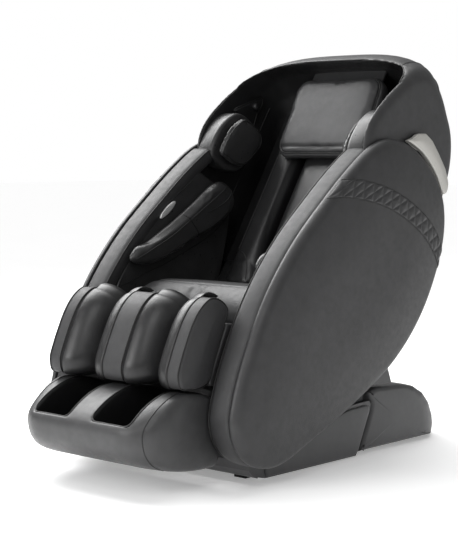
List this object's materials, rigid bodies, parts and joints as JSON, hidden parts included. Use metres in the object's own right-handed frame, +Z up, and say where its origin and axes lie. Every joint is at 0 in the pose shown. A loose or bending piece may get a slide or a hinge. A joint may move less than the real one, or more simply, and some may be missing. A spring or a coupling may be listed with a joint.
{
  "type": "massage chair",
  "caption": "Reclining massage chair with padded side pods, a hooded backrest with a massage carriage on rails, calf channels and an extending foot unit, on a low sliding base.",
  "frame": {"origin": "on the floor, at the middle of the chair's length and width", "axes": "+Z up; the sitter faces -Y; +X is the sitter's left; length runs along Y and width along X"},
  "size_m": [0.788, 1.411, 1.2656],
  "materials": {
    "leather": "dark grey synthetic leather, fine grain, satin",
    "inner_leather": "black synthetic leather, soft satin",
    "base_plastic": "graphite satin moulded plastic",
    "dark_plastic": "black matt moulded plastic",
    "trim": "champagne silver, satin",
    "steel": "bright zinc plated",
    "painted_steel": "black powder coat",
    "rubber": "matt black rubber"
  },
  "bodies": {
    "base": {"base_frame": "painted_steel", "base_front_cover": "base_plastic", "base_rear_cover": "base_plastic", "rubber_skid_left": "rubber", "rubber_skid_right": "rubber", "power_inlet": "dark_plastic", "control_box": "painted_steel", "air_pump": "dark_plastic"},
    "wheel_left": {"transport_wheel_left": "rubber"},
    "wheel_right": {"transport_wheel_right": "rubber"},
    "switch": {"rocker_switch": "dark_plastic"},
    "carriage": {"slide_carriage": "painted_steel", "tilt_shaft": "steel"},
    "seat": {"seat_frame": "painted_steel", "seat_cushion": "leather", "recline_shaft": "steel", "legrest_shaft": "steel", "badge": "trim", "pod_shell_left": "leather", "pod_shell_right": "leather", "pod_band_left": "leather", "pod_band_right": "leather", "arm_panel_left": "inner_leather", "arm_panel_right": "inner_leather", "forearm_pad_left": "inner_leather", "forearm_pad_right": "inner_leather", "trim_left": "trim", "trim_right": "trim"},
    "actuator_body": {"recline_actuator_body": "painted_steel"},
    "actuator_rod": {"recline_actuator_rod": "steel"},
    "backrest": {"back_shell": "leather", "back_surround": "inner_leather", "back_centre_pad": "inner_leather", "back_rails": "steel", "back_bolster_left": "inner_leather", "back_bolster_right": "inner_leather", "shoulder_housing_left": "dark_plastic", "shoulder_housing_right": "dark_plastic", "shoulder_pad_left": "inner_leather", "shoulder_pad_right": "inner_leather", "speaker_left": "dark_plastic", "speaker_right": "dark_plastic"},
    "pillow": {"pillow": "leather"},
    "massage_carriage": {"massage_carriage": "dark_plastic"},
    "knead_left": {"knead_arm_left": "steel"},
    "knead_right": {"knead_arm_right": "steel"},
    "calf": {"calf_shell": "leather", "calf_lobe_left": "leather", "calf_lobe_centre": "leather", "calf_lobe_right": "leather", "calf_pad_left": "inner_leather", "calf_pad_right": "inner_leather"},
    "foot": {"foot_shell": "leather", "sole_pad_left": "inner_leather", "sole_pad_right": "inner_leather"},
    "sole_rollers": {"sole_rollers": "dark_plastic"},
    "roller_upper_left": {"roller_upper_left": "rubber"},
    "roller_upper_right": {"roller_upper_right": "rubber"},
    "roller_lower_left": {"roller_lower_left": "rubber"},
    "roller_lower_right": {"roller_lower_right": "rubber"}
  },
  "joints": [
    {"name": "seat_slide", "type": "slide", "parent": "base", "child": "carriage", "axis": [0, -1, 0], "range_m": [0, 0.11]},
    {"name": "seat_tilt", "type": "hinge", "parent": "carriage", "child": "seat", "pos_m": [0, 0.215, 0.3], "axis": [-1, 0, 0], "range_deg": [0, 15]},
    {"name": "backrest_recline", "type": "hinge", "parent": "seat", "child": "backrest", "pos_m": [0, 0.095, 0.33], "axis": [-1, 0, 0], "range_deg": [0, 38]},
    {"name": "actuator_swing", "type": "hinge", "parent": "seat", "child": "actuator_body", "pos_m": [0, -0.19, 0.338], "axis": [-1, 0, 0], "range_deg": [0, 3.5]},
    {"name": "actuator_stroke", "type": "slide", "parent": "actuator_body", "child": "actuator_rod", "axis": [0, -0.9623, 0.272], "range_m": [0, 0.055]},
    {"name": "legrest_lift", "type": "hinge", "parent": "seat", "child": "calf", "pos_m": [0, -0.29, 0.44], "axis": [-1, 0, 0], "range_deg": [0, 70]},
    {"name": "footrest_extend", "type": "slide", "parent": "calf", "child": "foot", "axis": [0, -0.4493, -0.8934], "range_m": [0, 0.12]},
    {"name": "sole_roller_turn", "type": "hinge", "parent": "foot", "child": "sole_rollers", "pos_m": [0, -0.56, 0.098], "axis": [1, 0, 0], "continuous": true},
    {"name": "pillow_lift", "type": "hinge", "parent": "backrest", "child": "pillow", "pos_m": [0, 0.54431, 1.15231], "axis": [-1, 0, 0], "range_deg": [0, 8]},
    {"name": "massage_travel", "type": "slide", "parent": "backrest", "child": "massage_carriage", "axis": [0, 0.5446, 0.8387], "range_m": [0, 0.3]},
    {"name": "knead_left", "type": "hinge", "parent": "massage_carriage", "child": "knead_left", "pos_m": [0.052, 0.34958, 0.64682], "axis": [1, 0, 0], "range_deg": [-8, 8]},
    {"name": "knead_right", "type": "hinge", "parent": "massage_carriage", "child": "knead_right", "pos_m": [-0.052, 0.34958, 0.64682], "axis": [1, 0, 0], "range_deg": [-8, 8]},
    {"name": "wheel_left_turn", "type": "hinge", "parent": "base", "child": "wheel_left", "pos_m": [0.182, 0.645, 0.028], "axis": [1, 0, 0], "continuous": true},
    {"name": "wheel_right_turn", "type": "hinge", "parent": "base", "child": "wheel_right", "pos_m": [-0.182, 0.645, 0.028], "axis": [1, 0, 0], "continuous": true},
    {"name": "rocker_tip", "type": "hinge", "parent": "base", "child": "switch", "pos_m": [0.05, 0.697, 0.048], "axis": [1, 0, 0], "range_deg": [-6, 6]},
    {"name": "roller_upper_left_turn", "type": "hinge", "parent": "knead_left", "child": "roller_upper_left", "pos_m": [0.069, 0.34767, 0.71364], "axis": [1, 0, 0], "continuous": true},
    {"name": "roller_upper_right_turn", "type": "hinge", "parent": "knead_right", "child": "roller_upper_right", "pos_m": [-0.069, 0.34767, 0.71364], "axis": [1, 0, 0], "continuous": true},
    {"name": "roller_lower_left_turn", "type": "hinge", "parent": "knead_left", "child": "roller_lower_left", "pos_m": [0.069, 0.28776, 0.62139], "axis": [1, 0, 0], "continuous": true},
    {"name": "roller_lower_right_turn", "type": "hinge", "parent": "knead_right", "child": "roller_lower_right", "pos_m": [-0.069, 0.28776, 0.62139], "axis": [1, 0, 0], "continuous": true}
  ],
  "couplings": [
    {"joint": "seat_slide", "follows": "backrest_recline", "m_per_rad": 0.16},
    {"joint": "actuator_swing", "follows": "backrest_recline", "ratio": 0.0837},
    {"joint": "actuator_stroke", "follows": "backrest_recline", "m_per_rad": 0.0798},
    {"joint": "footrest_extend", "follows": "legrest_lift", "m_per_rad": 0.098},
    {"joint": "knead_right", "follows": "knead_left", "ratio": -1}
  ]
}
